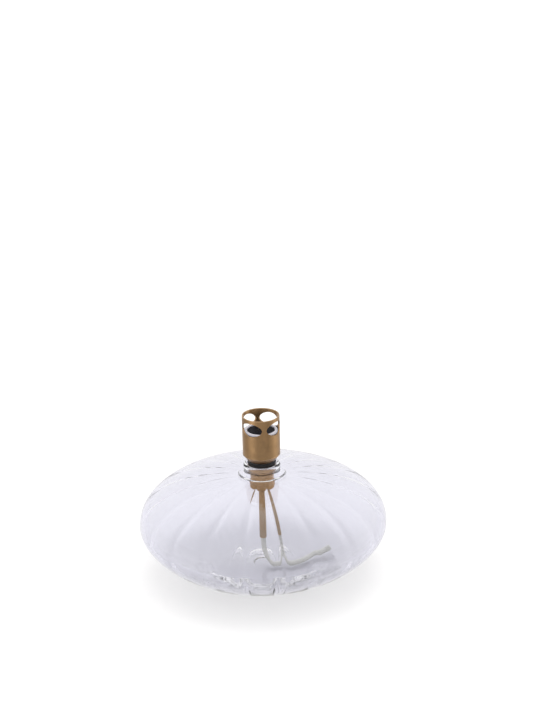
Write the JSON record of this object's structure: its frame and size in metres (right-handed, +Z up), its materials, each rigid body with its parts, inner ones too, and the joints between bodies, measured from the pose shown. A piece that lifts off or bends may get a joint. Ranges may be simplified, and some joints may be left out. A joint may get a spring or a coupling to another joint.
{
  "type": "oil lamp",
  "caption": "Squat ribbed clear-glass oil lamp with a lift-out brass burner, air windows, a wick tube and a free wick in the reservoir.",
  "frame": {"origin": "centre of the foot ring that the lamp stands on", "axes": "+Z up the lamp's axis; -Y is the front, between two air windows and beside a post; +X is to the right, where the wick's free tail lies"},
  "size_m": [0.2, 0.2, 0.1346],
  "materials": {
    "vessel_glass": "clear, optic ribbed",
    "collar_glass": "clear, lightly frosted",
    "satin_brass": "satin, lightly tarnished",
    "tube_brass": "drawn tube",
    "seal_rubber": "matte black",
    "blackened_metal": "black, semi-gloss",
    "wick_fibre": "braided glass fibre"
  },
  "bodies": {
    "vessel": {"glass_vessel": "vessel_glass"},
    "burner": {"burner_crown": "satin_brass", "burner_stem": "satin_brass", "lock_ring": "satin_brass", "seal_ring": "seal_rubber"},
    "collar": {"glass_collar": "collar_glass"},
    "wick_holder": {"wick_plate": "blackened_metal", "wick_tube": "tube_brass", "tube_ferrule": "tube_brass"},
    "wick": {"wick_core": "wick_fibre", "wick_tail": "wick_fibre"}
  },
  "joints": [
    {"name": "burner_lift", "type": "slide", "parent": "vessel", "child": "burner", "axis": [0, 0, 1], "range_m": [0, 0.1], "deforming": ["wick_tail"]},
    {"name": "collar_lift", "type": "slide", "parent": "burner", "child": "collar", "axis": [0, 0, 1], "range_m": [0, 0.036], "deforming": ["wick_tail"]},
    {"name": "holder_lift", "type": "slide", "parent": "collar", "child": "wick_holder", "axis": [0, 0, 1], "range_m": [0, 0.132], "deforming": ["wick_tail"]},
    {"name": "wick_feed", "type": "slide", "parent": "wick_holder", "child": "wick", "axis": [0, 0, 1], "range_m": [-0.003, 0.008], "deforming": ["wick_tail"]}
  ]
}
